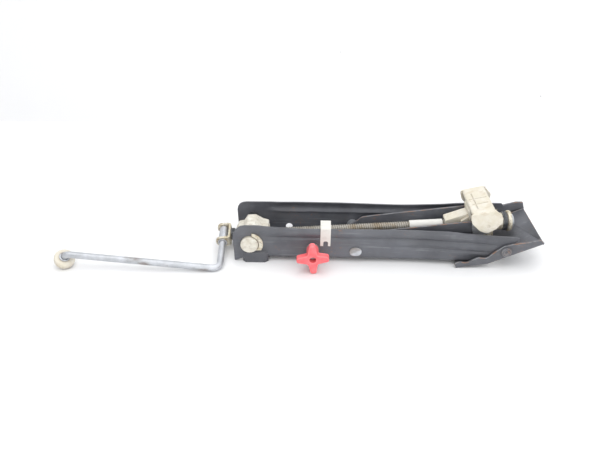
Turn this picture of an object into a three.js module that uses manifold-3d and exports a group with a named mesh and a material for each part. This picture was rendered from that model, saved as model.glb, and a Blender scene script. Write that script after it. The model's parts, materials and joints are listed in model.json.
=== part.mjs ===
// Folding scissor jack with an asymmetric linkage, stowed flat, in millimetres, +Z up.
// Working frame: x runs along the leg from the nut's axis to the foot, y runs across it,
// z is height above the leg's underside. The finished group is moved so that it stands
// on z = 0, centred in x and y. The side facing the user (knob and crank) is -y.
import * as THREE from "three";
import { mergeVertices } from "three/addons/utils/BufferGeometryUtils.js";
import Module from "manifold-3d";

const wasm = await Module();
wasm.setup();

// ---------------------------------------------------------------- driving dimensions
const LEG_LENGTH = 377;
const LEG_WIDTH = 74;
const LEG_HEIGHT = 45;
const LEG_WALL = 2.5;
const LEG_FLARE = 6;
const STAND_OFF = 5;
const GAP = 0.3;
const RUN_GAP = 0.5;

// pivot axes, all parallel to y: nut, main pivot, head, foot
const NUT = { x: 0, z: 21.8 };
const HEAD = { x: LEG_LENGTH - 65, z: 45.5 };
const ARM_SPAN = 171.5;
const MAIN = { x: HEAD.x - ARM_SPAN, z: 12.6 };
const FOOT = { x: LEG_LENGTH - 40.4, z: 21.5 };
const SCREW_DROP = 6.2;

const ARM_WIDTH = 45;
const ARM_WALL = 2.5;
const SPINDLE_R = 6;
const NUT_BORE_R = 9.9;
const MAIN_PIN_R = 6;
const HEAD_PIN_R = 7;
const FOOT_PIN_R = 3;
const CRANK_ROD_R = 4.5;
const ROUND = 24;

// ---------------------------------------------------------------- derived sizes
const LEG_LEFT = -22.8;
const LEG_RIGHT = LEG_LEFT + LEG_LENGTH;
const LEG_OUT = LEG_WIDTH / 2;
const LEG_IN = LEG_OUT - LEG_WALL;
const ARM_OUT = ARM_WIDTH / 2;
const ARM_IN = ARM_OUT - ARM_WALL;
const BRACKET_IN = ARM_OUT + RUN_GAP;
const BRACKET_OUT = BRACKET_IN + 1.8;
const SADDLE_OUT = LEG_OUT - 1.6;
const SADDLE_IN = SADDLE_OUT - 4;
const FOOT_IN = LEG_OUT + LEG_FLARE + 0.6;
const FOOT_OUT = FOOT_IN + 3;
const ARM_ANGLE = Math.atan2(HEAD.z - MAIN.z, HEAD.x - MAIN.x);
const ARM_REACH = Math.hypot(HEAD.z - MAIN.z, HEAD.x - MAIN.x);
const SPINDLE_ANGLE = Math.atan2(HEAD.z - NUT.z, HEAD.x - NUT.x);
const SPINDLE_REACH = Math.hypot(HEAD.z - NUT.z, HEAD.x - NUT.x);
const HEAD_TILT = THREE.MathUtils.degToRad(14);
const CRANK_DROOP = THREE.MathUtils.degToRad(12.5);
const CRANK_RISE = THREE.MathUtils.degToRad(9);
const CRANK_TOE = THREE.MathUtils.degToRad(2.5);

// ---------------------------------------------------------------- solids
function toSolid(geometry) {
  const bare = new THREE.BufferGeometry();
  bare.setAttribute("position", geometry.getAttribute("position").clone());
  if (geometry.index) bare.setIndex(geometry.index.clone());
  const merged = mergeVertices(bare, 1e-4);
  const at = merged.getAttribute("position").array;
  const index = merged.index.array;
  const tris = [];
  let volume = 0;
  for (let i = 0; i < index.length; i += 3) {
    const [a, b, c] = [index[i], index[i + 1], index[i + 2]];
    if (a === b || b === c || c === a) continue;
    tris.push(a, b, c);
    const p = new THREE.Vector3().fromArray(at, a * 3);
    const q = new THREE.Vector3().fromArray(at, b * 3);
    const r = new THREE.Vector3().fromArray(at, c * 3);
    volume += p.dot(q.cross(r));
  }
  if (volume < 0) {
    for (let i = 0; i < tris.length; i += 3) [tris[i], tris[i + 1]] = [tris[i + 1], tris[i]];
  }
  return new wasm.Manifold(new wasm.Mesh({
    numProp: 3,
    vertProperties: new Float32Array(at),
    triVerts: new Uint32Array(tris),
  }));
}

function toGeometry(solid) {
  const mesh = solid.getMesh();
  const geometry = new THREE.BufferGeometry();
  geometry.setAttribute("position", new THREE.BufferAttribute(mesh.vertProperties.slice(), 3));
  geometry.setIndex(new THREE.BufferAttribute(mesh.triVerts.slice(), 1));
  geometry.computeVertexNormals();
  return geometry;
}

// Corners are [u, v] or [u, v, radius]; a corner with a radius becomes an arc.
function rounded(corners) {
  const out = [];
  const n = corners.length;
  corners.forEach(([u, v, radius], i) => {
    const here = new THREE.Vector2(u, v);
    if (!radius) {
      out.push(here);
      return;
    }
    const back = new THREE.Vector2(...corners[(i + n - 1) % n].slice(0, 2)).sub(here);
    const on = new THREE.Vector2(...corners[(i + 1) % n].slice(0, 2)).sub(here);
    const shorter = Math.min(back.length(), on.length());
    back.normalize();
    on.normalize();
    const half = Math.acos(THREE.MathUtils.clamp(back.dot(on), -1, 1)) / 2;
    const inset = Math.min(radius / Math.tan(half), 0.48 * shorter);
    const trueRadius = inset * Math.tan(half);
    const centre = back.clone().add(on).normalize().multiplyScalar(trueRadius / Math.sin(half)).add(here);
    const start = back.clone().multiplyScalar(inset).add(here).sub(centre);
    const end = on.clone().multiplyScalar(inset).add(here).sub(centre);
    const sweep = Math.atan2(start.cross(end), start.dot(end));
    const steps = Math.max(2, Math.round(Math.abs(sweep) / 0.4));
    for (let k = 0; k <= steps; k++) {
      out.push(start.clone().rotateAround(new THREE.Vector2(), (sweep * k) / steps).add(centre));
    }
  });
  return out;
}

function outline(corners, holes) {
  const shape = new THREE.Shape(rounded(corners));
  for (const [u, v, radius] of holes) {
    const path = new THREE.Path();
    path.absarc(u, v, radius, 0, 2 * Math.PI, false);
    shape.holes.push(path);
  }
  return shape;
}

// A local frame in the side view: its origin and its turn, anticlockwise seen from -y.
const AT_LEG = { x: 0, z: 0, angle: 0 };
const AT_ARM = { ...MAIN, angle: ARM_ANGLE };
const SCREW_START = {
  x: HEAD.x + SCREW_DROP * Math.sin(SPINDLE_ANGLE),
  z: HEAD.z - SCREW_DROP * Math.cos(SPINDLE_ANGLE),
};
const AT_SPINDLE = { ...SCREW_START, angle: SPINDLE_ANGLE };
const AT_HEAD = { ...HEAD, angle: HEAD_TILT };
const AT_FOOT = { ...FOOT, angle: 0 };

function settle(geometry, frame) {
  geometry.rotateY(-frame.angle);
  geometry.translate(frame.x, 0, frame.z);
  return toSolid(geometry);
}

// Side-view outline given thickness across the object, from y = near to y = far.
function plate(corners, near, far, frame = AT_LEG, holes = []) {
  const geometry = new THREE.ExtrudeGeometry(outline(corners, holes), {
    depth: far - near, bevelEnabled: false, curveSegments: ROUND / 2,
  });
  geometry.rotateX(Math.PI / 2);
  geometry.translate(0, far, 0);
  return settle(geometry, frame);
}

// End-view outline (y, z) run lengthwise from u = start to u = end.
function beam(corners, start, end, frame = AT_LEG) {
  const geometry = new THREE.ExtrudeGeometry(outline(corners, []), {
    depth: end - start, bevelEnabled: false, curveSegments: ROUND / 2,
  });
  geometry.applyMatrix4(new THREE.Matrix4().makeBasis(
    new THREE.Vector3(0, 1, 0), new THREE.Vector3(0, 0, 1), new THREE.Vector3(1, 0, 0)));
  geometry.translate(start, 0, 0);
  return settle(geometry, frame);
}

// The leg widens towards the foot: half its width grows by LEG_FLARE.
const FLARE_FROM = HEAD.x - 122;
const flareAt = (x) => LEG_FLARE * THREE.MathUtils.smoothstep(x, FLARE_FROM, HEAD.x + 28);
function flaredSection(corners, start, end, steps) {
  const geometry = new THREE.ExtrudeGeometry(outline(corners, []), {
    depth: end - start, bevelEnabled: false, steps, curveSegments: ROUND / 2,
  });
  geometry.applyMatrix4(new THREE.Matrix4().makeBasis(
    new THREE.Vector3(0, 1, 0), new THREE.Vector3(0, 0, 1), new THREE.Vector3(1, 0, 0)));
  geometry.translate(start, 0, 0);
  const at = geometry.getAttribute("position");
  for (let i = 0; i < at.count; i++) at.setY(i, at.getY(i) + Math.sign(at.getY(i)) * flareAt(at.getX(i)));
  return toSolid(geometry);
}

// Top-view outline (x, y) given height from z = low to z = high.
function slab(corners, low, high) {
  const geometry = new THREE.ExtrudeGeometry(outline(corners, []), {
    depth: high - low, bevelEnabled: false, curveSegments: ROUND / 2,
  });
  geometry.translate(0, 0, low);
  return toSolid(geometry);
}

// Turned piece: profile of [radius, height] along a direction; a bore closes the profile.
function turned(profile, origin, direction, segments = ROUND) {
  const points = profile.map(([r, h]) => new THREE.Vector2(r, h));
  if (profile[0][0] > 0) points.push(points[0].clone());
  const geometry = new THREE.LatheGeometry(points, segments);
  geometry.applyQuaternion(new THREE.Quaternion().setFromUnitVectors(
    new THREE.Vector3(0, 1, 0), direction.clone().normalize()));
  geometry.translate(origin.x, origin.y, origin.z);
  return toSolid(geometry);
}

const Y = new THREE.Vector3(0, 1, 0);
const across = (point, y = 0) => new THREE.Vector3(point.x, y, point.z);
const pin = (point, radius, near, far, segments = ROUND) =>
  turned([[0, 0], [radius, 0], [radius, far - near], [0, far - near]], across(point, near), Y, segments);
const ring = (point, bore, radius, near, far, segments = ROUND) =>
  turned(
    [[bore, 0], [radius, 0], [radius, far - near], [bore, far - near]], across(point, near), Y, segments);

// Pressed channel section, open upwards.
function channel(outer, wall, low, high, bend) {
  const inner = outer - wall;
  return [
    [-outer, high], [-outer, low, bend], [outer, low, bend], [outer, high],
    [inner, high], [inner, low + wall, bend - wall], [-inner, low + wall, bend - wall], [-inner, high],
  ];
}

// ---------------------------------------------------------------- finishes and group
const FINISHES = {
  black_paint: [0x3a3c42, 0.5, 0.15],
  zinc_yellow: [0xc9bfa0, 0.5, 0.6],
  galvanised: [0xb9bdc4, 0.35, 0.85],
  cream_plastic: [0xe4dcc6, 0.6, 0.0],
  thread_steel: [0x8d8779, 0.55, 0.7],
  white_label: [0xe6e8ea, 0.6, 0.0],
  red_plastic: [0xd9434c, 0.45, 0.0],
  dark_steel: [0x2c2d30, 0.5, 0.5],
};

const jack = new THREE.Group();
jack.name = "scissor_jack";

function add(name, solid, finish) {
  const [color, roughness, metalness] = FINISHES[finish];
  const material = new THREE.MeshStandardMaterial({ color, roughness, metalness });
  material.name = finish;
  const mesh = new THREE.Mesh(toGeometry(solid), material);
  mesh.name = name;
  jack.add(mesh);
}

const union = (solids) => solids.reduce((sum, next) => sum.add(next));
const cut = (solid, tools) => tools.reduce((rest, tool) => rest.subtract(tool), solid);

// ---------------------------------------------------------------- leg
const KNOB = { x: 83.5, z: 16.5 };
const KNOB_STUD_R = 4;
const FRONT_TRUNNION_R = 11.8;
const BACK_TRUNNION_R = 7.5;
const WEB_START = 12;
const WEB_END = FOOT.x - 54;
const EDGE_TOP = LEG_HEIGHT + 3.2;
const LEG_REACH = LEG_OUT + LEG_FLARE + 1;

// the lower edge is common to both flanges, the upper edges are pressed differently
const lowerEdge = [
  [LEG_LEFT + 2.3, 0, 1], [WEB_END, 0, 3], [FOOT.x - 23, 6.4, 3], [FOOT.x - 6.5, FOOT.z - 6.6, 2],
  [FOOT.x + 7, FOOT.z - 4, 2], [FOOT.x + 11.5, FOOT.z + 12],
];
const frontEdge = [
  [LEG_RIGHT, LEG_HEIGHT - 4, 4], [LEG_RIGHT - 32, LEG_HEIGHT - 2.6, 20], [262, LEG_HEIGHT, 20],
  [66, LEG_HEIGHT - 0.6, 20], [34, LEG_HEIGHT + 0.6, 10], [12, EDGE_TOP, 10], [LEG_LEFT, EDGE_TOP, 20],
];
const backEdge = [
  [LEG_RIGHT, LEG_HEIGHT + 0.6, 4], [304, LEG_HEIGHT + 0.8, 20], [206, LEG_HEIGHT - 0.6, 20],
  [116, LEG_HEIGHT + 1.9, 20], [60, LEG_HEIGHT + 1.9, 20], [10, LEG_HEIGHT + 0.6, 10],
  [LEG_LEFT, LEG_HEIGHT + 0.2, 13],
];
const legSide = plate([...lowerEdge, ...frontEdge], -LEG_REACH, 0)
  .add(plate([...lowerEdge, ...backEdge], 0, LEG_REACH))
  .add(pin(FOOT, 7.2, -LEG_REACH, LEG_REACH));
const legSection = flaredSection(
  channel(LEG_OUT, LEG_WALL, 0, EDGE_TOP + 2, 6), LEG_LEFT - 1, LEG_RIGHT + 1, 26);

const legEnd = (near, far) => plate([
  [LEG_LEFT + 2.5, -STAND_OFF + 0.4, 1], [-9, -0.5, 1], [WEB_START + 4, -0.5], [WEB_START + 4, 18],
  [LEG_LEFT + 1.5, 18],
], near, far);

// The strip below the nut's hole is pressed outwards to carry the nut's end.
function pressedLip(side) {
  const proud = LEG_OUT + 4;
  return slab([
    [-9, side * LEG_IN], [-9, side * (LEG_OUT - 0.2)], [-5, side * proud, 1], [20, side * proud, 1],
    [25, side * (LEG_OUT - 0.2)], [25, side * LEG_IN],
  ], -STAND_OFF, NUT.z - FRONT_TRUNNION_R - RUN_GAP);
}

const leg = cut(
  union([
    cut(legSide.intersect(legSection), [
      plate([[LEG_LEFT - 2, -9], [WEB_START, -9], [WEB_START, 9], [LEG_LEFT - 2, 9]], -LEG_IN, LEG_IN),
      plate([[WEB_END - 1, -2], [FOOT.x + 20, -2], [FOOT.x + 20, 12], [WEB_END - 1, 12]],
        -LEG_IN - 1, LEG_IN + 1),
    ]),
    legEnd(-LEG_OUT, -LEG_IN), legEnd(LEG_IN, LEG_OUT), pressedLip(-1), pressedLip(1),
  ]),
  [
    pin(NUT, FRONT_TRUNNION_R + RUN_GAP, -LEG_OUT - 1, -LEG_IN + 1),
    pin(NUT, BACK_TRUNNION_R + RUN_GAP, LEG_IN - 1, LEG_OUT + 1),
    pin(MAIN, MAIN_PIN_R + GAP, -LEG_OUT - 1, LEG_OUT + 1),
    pin(FOOT, FOOT_PIN_R + GAP, -LEG_REACH, LEG_REACH, 16),
    pin(KNOB, KNOB_STUD_R + GAP, -LEG_OUT - 1, -LEG_IN + 1, 16),
    pin({ x: 51, z: 6.8 }, 5, LEG_IN - 1, LEG_OUT + 1, 16),
  ]);
add("leg_channel", leg, "black_paint");

function crescent(near, far, bore) {
  const disc = turned(
    [[0, 0], [16.5, 0], [16.5, far - near], [0, far - near]], across({ x: NUT.x + 1.5, z: NUT.z }, near), Y);
  return cut(disc, [
    pin(NUT, bore, near - 1, far + 1),
    plate([[-30, -30], [3, -30], [3, 60], [-30, 60]], near - 1, far + 1),
    plate([[-1, -30], [40, -30], [40, NUT.z - 9], [-1, NUT.z - 9]], near - 1, far + 1),
  ]);
}
add("trunnion_retainer_front",
  crescent(-LEG_OUT - 2.3, -LEG_OUT - GAP, FRONT_TRUNNION_R + RUN_GAP), "zinc_yellow");
add("trunnion_retainer_back",
  crescent(LEG_OUT + GAP, LEG_OUT + 2.3, BACK_TRUNNION_R + RUN_GAP), "zinc_yellow");

// main pivot: a pin with an oblong riveted head at each end
const rivetHead = (near, far) => plate([
  [MAIN.x - 8, MAIN.z - 6.2, 6], [MAIN.x + 8, MAIN.z - 6.2, 6],
  [MAIN.x + 8, MAIN.z + 6.2, 6], [MAIN.x - 8, MAIN.z + 6.2, 6],
], near, far);
add("main_pivot_pin", union([
  pin(MAIN, MAIN_PIN_R, -LEG_OUT - 1, LEG_OUT + 1),
  rivetHead(-LEG_OUT - GAP - 1.9, -LEG_OUT - GAP),
  rivetHead(LEG_OUT + GAP, LEG_OUT + GAP + 1.9),
]), "galvanised");
add("pivot_spacer_front", ring(MAIN, MAIN_PIN_R + GAP, 7.8, -LEG_IN + GAP, -ARM_OUT - GAP), "galvanised");
add("pivot_spacer_back", ring(MAIN, MAIN_PIN_R + GAP, 7.8, ARM_OUT + GAP, LEG_IN - GAP), "galvanised");

// clip hooked over the front flange: down the outside, over the edge, tongue inwards
const CLIP_X = 100;
const CLIP_WIDE = 13.6;
const clipStrip = beam([
  [-LEG_OUT - 2.2, LEG_HEIGHT - 23.8], [-LEG_OUT - GAP, LEG_HEIGHT - 23.8],
  [-LEG_OUT - GAP, LEG_HEIGHT + 0.9], [-LEG_OUT + 3, LEG_HEIGHT + 2.4, 2], [-LEG_OUT + 14, LEG_HEIGHT + 4.4],
  [-LEG_OUT + 14, LEG_HEIGHT + 6.2], [-LEG_OUT + 2, LEG_HEIGHT + 4.4, 2], [-LEG_OUT - 2.2, LEG_HEIGHT + 2, 2],
], CLIP_X - CLIP_WIDE / 2, CLIP_X + CLIP_WIDE / 2);
add("storage_clip", cut(clipStrip, [plate([
  [CLIP_X - 2.6, LEG_HEIGHT - 25], [CLIP_X + 3.4, LEG_HEIGHT - 25],
  [CLIP_X + 3.4, LEG_HEIGHT - 16.5, 2.5], [CLIP_X - 2.6, LEG_HEIGHT - 16.5, 2.5],
], -LEG_OUT - 4, -LEG_OUT)]), "white_label");

// foot rivets, one each side
for (const [side, name] of [[-1, "front"], [1, "back"]]) {
  const inner = LEG_OUT + flareAt(FOOT.x - 8) - LEG_WALL - GAP;
  const profile = [
    [0, inner - 1.8], [4.8, inner - 1.8], [5.6, inner - 0.6], [5.6, inner], [FOOT_PIN_R, inner],
    [FOOT_PIN_R, FOOT_OUT + GAP], [7, FOOT_OUT + GAP], [7, FOOT_OUT + 1.3], [5.8, FOOT_OUT + 2.3],
    [3.6, FOOT_OUT + 2.3], [2.6, FOOT_OUT + 1.2], [0, FOOT_OUT + 1.2],
  ];
  add(`foot_rivet_${name}`,
    turned(profile, across(FOOT), new THREE.Vector3(0, side, 0), ROUND), "black_paint");
}

// ---------------------------------------------------------------- knob on its stud
const KNOB_FACE = -LEG_OUT - 29.5;
const STUD_TIP = KNOB_FACE + 8;
add("knob_stud", turned([
  [0, -LEG_IN + GAP + 2.6], [5, -LEG_IN + GAP + 2.6], [7, -LEG_IN + GAP + 1.2], [7, -LEG_IN + GAP],
  [KNOB_STUD_R, -LEG_IN + GAP], [KNOB_STUD_R, STUD_TIP], [0, STUD_TIP],
], across(KNOB), Y, 16), "galvanised");
add("knob_washer",
  ring(KNOB, KNOB_STUD_R + GAP, 8.2, -LEG_OUT - GAP - 1.6, -LEG_OUT - GAP, 20), "galvanised");

const LOBES = 4;
const KNOB_REACH = 21.4;
const star = [];
for (let i = 0; i < LOBES; i++) {
  const toTip = THREE.MathUtils.degToRad(94) + (i * 2 * Math.PI) / LOBES;
  const polar = (radius, angle) => [
    KNOB.x + radius * Math.cos(angle), KNOB.z + radius * Math.sin(angle)];
  star.push([...polar(KNOB_REACH, toTip - 0.165), 3]);
  star.push([...polar(KNOB_REACH, toTip + 0.165), 3]);
  star.push([...polar(9.2, toTip + Math.PI / LOBES), 4]);
}
const knobBack = -LEG_OUT - GAP - 1.6 - GAP;
const knobBody = union([
  plate(star, KNOB_FACE, KNOB_FACE + 9.5),
  pin(KNOB, 8, KNOB_FACE + 6, knobBack),
]);
add("star_knob", cut(knobBody, [
  pin(KNOB, KNOB_STUD_R + GAP, KNOB_FACE - 1, knobBack + 1, 16),
]), "red_plastic");

// ---------------------------------------------------------------- nut with its trunnions
const SPINDLE_AXIS = new THREE.Vector3(Math.cos(SPINDLE_ANGLE), 0, Math.sin(SPINDLE_ANGLE));
const along = (d) => across(SCREW_START).addScaledVector(SPINDLE_AXIS, d);
const fromNut = (d) => along(d - SPINDLE_REACH);
const onSpindle = (profile, segments = ROUND) => turned(profile, across(SCREW_START), SPINDLE_AXIS, segments);

const NUT_FRONT = -LEG_IN + RUN_GAP;
const NUT_BACK = 10;
const NUT_BOSS_R = 12.3;
const nutSide = [
  [-22, 16, 3], [-17.4, 29.4, 3], [-10, 31, 3], [-5, 39.4, 3], [6, 40.2, 2], [15.5, 34.4, 4], [24, 31.8, 2],
  [24, 11, 4], [12, 4, 4], [-13, 4, 5],
];
const nutBody = union([
  turned([[0, NUT_FRONT], [13.5, NUT_FRONT], [15.2, NUT_FRONT + 2.5], [15.2, -14], [0, -14]], across(NUT), Y),
  plate(nutSide, -19, NUT_BACK),
  turned([[0, 0], [11.4, 0], [12.2, 1.4], [12.4, 10], [12.4, 42], [11.6, 45], [0, 45]],
    fromNut(-20), SPINDLE_AXIS),
  pin(NUT, FRONT_TRUNNION_R, -LEG_OUT - 4, -LEG_IN + 2),
]);
add("trunnion_nut", cut(nutBody, [
  turned([[0, 0], [NUT_BORE_R, 0], [NUT_BORE_R, 90], [0, 90]], fromNut(-45), SPINDLE_AXIS),
]), "zinc_yellow");
add("trunnion_back_pin", turned([
  [0, NUT_BOSS_R + GAP], [BACK_TRUNNION_R, NUT_BOSS_R + GAP], [BACK_TRUNNION_R, LEG_OUT + 3.2],
  [BACK_TRUNNION_R - 1, LEG_OUT + 4], [0, LEG_OUT + 4],
], across(NUT), Y), "dark_steel");

// ---------------------------------------------------------------- arm
const ARM_TOP_NEAR = 17;
const ARM_TOP_FAR = 10.4;
const ARM_LOW = -9.2;
const LABEL_R = SPINDLE_R + 1.1;
// the arm's web ends where the folded spindle would come down on it
const WEB_OPEN = ARM_REACH
  - (ARM_LOW + ARM_WALL + 1.1 + SCREW_DROP + LABEL_R) / Math.tan(ARM_ANGLE - SPINDLE_ANGLE);
const armSide = plate([
  [-6, ARM_LOW, 7], [ARM_REACH - 15, ARM_LOW, 3], [ARM_REACH - 12, -11.5, 3], [ARM_REACH + 12.5, -11.5, 12],
  [ARM_REACH + 12.5, 12, 11], [ARM_REACH - 10, ARM_TOP_FAR, 6],
  [30, ARM_TOP_NEAR, 10], [15, ARM_TOP_NEAR, 5], [2, 9.4, 5], [-9.4, 6, 6], [-9.4, -3, 6],
], -ARM_OUT - 1, ARM_OUT + 1, AT_ARM);
const armSection = beam(channel(ARM_OUT, ARM_WALL, ARM_LOW, 30, 5), -20, ARM_REACH + 20, AT_ARM);
const armTips = (near, far) => pin(HEAD, 12, near, far);
const arm = cut(
  union([
    cut(armSide.intersect(armSection), [
      plate([[WEB_OPEN, -14], [ARM_REACH + 20, -14], [ARM_REACH + 20, -2], [WEB_OPEN, -2]],
        -ARM_IN, ARM_IN, AT_ARM),
    ]),
    armTips(-ARM_OUT, -ARM_IN), armTips(ARM_IN, ARM_OUT),
  ]),
  [
    pin(MAIN, MAIN_PIN_R + GAP, -ARM_OUT - 1, ARM_OUT + 1),
    pin(HEAD, HEAD_PIN_R + GAP, -ARM_OUT - 1, ARM_OUT + 1),
  ]);
add("arm_channel", arm, "black_paint");

// ---------------------------------------------------------------- head: bracket and saddle
const BLOCK_HALF = 11;
const WEB_LOW = 22.2;
const WEB_WALL = 1.8;
const bracketSide = [
  [-18.4, -10.5, 3], [7, -10.5, 8], [10, 4, 6], [10.5, WEB_LOW + WEB_WALL, 2], [-15, WEB_LOW + WEB_WALL, 2],
  [-18.4, 6, 3],
];
const bracketCheek = (near, far) => plate(bracketSide, near, far, AT_HEAD);
add("head_bracket", cut(
  union([
    bracketCheek(-BRACKET_OUT, -BRACKET_IN), bracketCheek(BRACKET_IN, BRACKET_OUT),
    plate([[-14, WEB_LOW], [9.6, WEB_LOW], [9.6, WEB_LOW + WEB_WALL], [-14, WEB_LOW + WEB_WALL]],
      -BRACKET_OUT + 0.2, BRACKET_OUT - 0.2, AT_HEAD),
  ]),
  [pin(HEAD, HEAD_PIN_R + GAP, -BRACKET_OUT - 1, BRACKET_OUT + 1)]), "galvanised");

const CROWN_LOW = WEB_LOW + WEB_WALL + GAP;
const CROWN_TOP = CROWN_LOW + 4.8;
const CROWN_LEFT = -17;
const CROWN_RIGHT = 12.8;
const cheekSide = [
  [-2.2, -3.2, 6], [10.7, 1.6, 5], [18.3, 8.2, 5], [21.4, 15.4, 5], [CROWN_RIGHT, CROWN_TOP, 3],
  [CROWN_LEFT, CROWN_TOP, 3], [-19.6, CROWN_TOP - 3, 3], [-19.1, 15.8, 4], [-10.9, 3.2, 5],
];
const tongueOuter = beam([[-8.6, 2], [8.6, 2], [8.6, 26, 3], [-8.6, 26, 3]], -51, -8, AT_SPINDLE);
const tongueTaper = plate([
  [-52, 2], [-7, 2], [-7, 23], [-22, 19], [-52, 9.4],
], -20, 20, AT_SPINDLE);
const tongueFlare = plate([
  [-31, 4], [-10, 4], [-10, 20], [-20, 17], [-31, 10],
], -12.5, 12.5, AT_SPINDLE);
const screwRoom = SPINDLE_R + 0.9;
const spindleRoom = beam([
  [-screwRoom, -30], [screwRoom, -30], [screwRoom, screwRoom + 0.1, 4], [-screwRoom, screwRoom + 0.1, 4],
], -60, 40, AT_SPINDLE);
const rib = (near, far) => plate([
  [-17, 10], [-14, CROWN_LOW + 1], [9, CROWN_LOW + 1], [8, 12], [-6, 8],
], near, far, AT_HEAD);
const saddle = union([
  plate(cheekSide, -SADDLE_OUT, -SADDLE_IN, AT_HEAD),
  plate(cheekSide, SADDLE_IN, SADDLE_OUT, AT_HEAD),
  rib(-BRACKET_OUT - GAP - 2.5, -BRACKET_OUT - GAP),
  rib(BRACKET_OUT + GAP, BRACKET_OUT + GAP + 2.5),
  plate([
    [CROWN_RIGHT, CROWN_LOW], [CROWN_RIGHT, CROWN_TOP, 3],
    [CROWN_LEFT, CROWN_TOP, 3], [CROWN_LEFT, CROWN_LOW],
  ], -SADDLE_OUT + 0.5, SADDLE_OUT - 0.5, AT_HEAD),
  cut(union([
    plate([
      [-19.2, 8], [-15.6, 8], [-15.6, CROWN_LOW], [-12, CROWN_LOW], [-12, CROWN_TOP - 1], [-18.8, 22, 2],
    ], -15, 15, AT_HEAD),
    cut(union([tongueOuter.intersect(tongueTaper), tongueFlare]), [
      plate([[-16.6, -30], [30, -30], [30, 60], [-16.6, 60]], -25, 25, AT_HEAD),
    ]),
  ]), [spindleRoom]),
]);
const crownGrooves = [
  [-8.6, -22, -7.2, 20], [-14, 4, 9.5, 5.4], [-12, -10, 8, -8.6],
].map(([x0, y0, x1, y1]) => plate(
  [[x0, CROWN_TOP - 0.9], [x1, CROWN_TOP - 0.9], [x1, CROWN_TOP + 2], [x0, CROWN_TOP + 2]], y0, y1, AT_HEAD));
const dimples = [-1, 1].map((side) => pin(
  { x: HEAD.x - 1, z: HEAD.z + 7.9 }, 2.3,
  Math.min(side * (SADDLE_OUT - 1), side * (SADDLE_OUT + 1)),
  Math.max(side * (SADDLE_OUT - 1), side * (SADDLE_OUT + 1)), 12));
add("head_saddle", cut(saddle, [...crownGrooves, ...dimples]), "cream_plastic");

// ---------------------------------------------------------------- end trunnion and thrust stack
const trunnionBlock = beam([
  [-ARM_IN + RUN_GAP, -BLOCK_HALF, 2], [ARM_IN - RUN_GAP, -BLOCK_HALF, 2],
  [ARM_IN - RUN_GAP, BLOCK_HALF + SCREW_DROP, 3], [-ARM_IN + RUN_GAP, BLOCK_HALF + SCREW_DROP, 3],
], -BLOCK_HALF, BLOCK_HALF, AT_SPINDLE);
const spindleBore = (start, end) => onSpindle([
  [0, start], [SPINDLE_R + GAP, start], [SPINDLE_R + GAP, end], [0, end]]);
add("end_trunnion", cut(
  union([trunnionBlock, pin(HEAD, HEAD_PIN_R, -BRACKET_OUT + 0.1, BRACKET_OUT - 0.1)]),
  [spindleBore(-BLOCK_HALF - 20, BLOCK_HALF + 20)]), "zinc_yellow");

const bore = SPINDLE_R + GAP;
add("thrust_cone", onSpindle([
  [bore, BLOCK_HALF + GAP], [9.5, BLOCK_HALF + GAP], [11.6, 16], [11.6, 26.2], [bore, 26.2]]), "zinc_yellow");
add("thrust_bearing", onSpindle([[bore, 26.5], [12.6, 26.5], [12.6, 32.2], [bore, 32.2]]), "dark_steel");
add("thrust_ring", onSpindle([
  [bore, 32.5], [13.2, 32.5], [14.2, 33.5], [14.2, 36.8], [13.2, 38], [bore, 38]]), "zinc_yellow");
add("spindle_end_nut", onSpindle([
  [bore, 38.3], [9.4, 38.3], [9.4, 40.2], [8.2, 41.4], [bore, 41.4]]), "galvanised");

// ---------------------------------------------------------------- spindle and yoke
const YOKE_PIN = 39.5;
const YOKE_WEB = 30;
const tail = -SPINDLE_REACH;
add("spindle_screw", onSpindle([
  [0, tail - YOKE_WEB - 2.2], [3.8, tail - YOKE_WEB - 2.2], [3.8, tail - YOKE_WEB + 1.8],
  [SPINDLE_R, tail - YOKE_WEB + 1.8], [SPINDLE_R, 41.2], [SPINDLE_R - 1.2, 42.4], [0, 42.4],
]), "thread_steel");
add("stop_collar", onSpindle([
  [bore, tail - YOKE_WEB + 2.1], [8.2, tail - YOKE_WEB + 2.1], [8.2, tail - YOKE_WEB + 7],
  [bore, tail - YOKE_WEB + 7]], 20), "dark_steel");
add("spindle_label", onSpindle([
  [bore, -98], [LABEL_R, -98], [LABEL_R, -53.5], [bore, -53.5]], 20), "white_label");

// crank directions: pin (towards the user and down), long arm (outwards), grip (down, bent outwards)
const GRIP_LEAN = 0.42;
const GRIP_TWIST = 0.2;
const NORMAL = new THREE.Vector3(-Math.sin(SPINDLE_ANGLE), 0, Math.cos(SPINDLE_ANGLE));
const PIN_DIR = Y.clone().multiplyScalar(-Math.cos(CRANK_DROOP))
  .addScaledVector(NORMAL, -Math.sin(CRANK_DROOP));
const LIFT_DIR = NORMAL.clone().multiplyScalar(Math.cos(CRANK_DROOP))
  .addScaledVector(Y, -Math.sin(CRANK_DROOP));
const ROD_DIR = SPINDLE_AXIS.clone().multiplyScalar(-Math.cos(CRANK_RISE))
  .addScaledVector(LIFT_DIR, Math.sin(CRANK_RISE)).multiplyScalar(Math.cos(CRANK_TOE))
  .addScaledVector(PIN_DIR, -Math.sin(CRANK_TOE));
const GRIP_DIR = LIFT_DIR.clone().negate()
  .addScaledVector(ROD_DIR, GRIP_LEAN).addScaledVector(PIN_DIR, -GRIP_TWIST).normalize();
const yokePin = fromNut(-YOKE_PIN);

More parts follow.
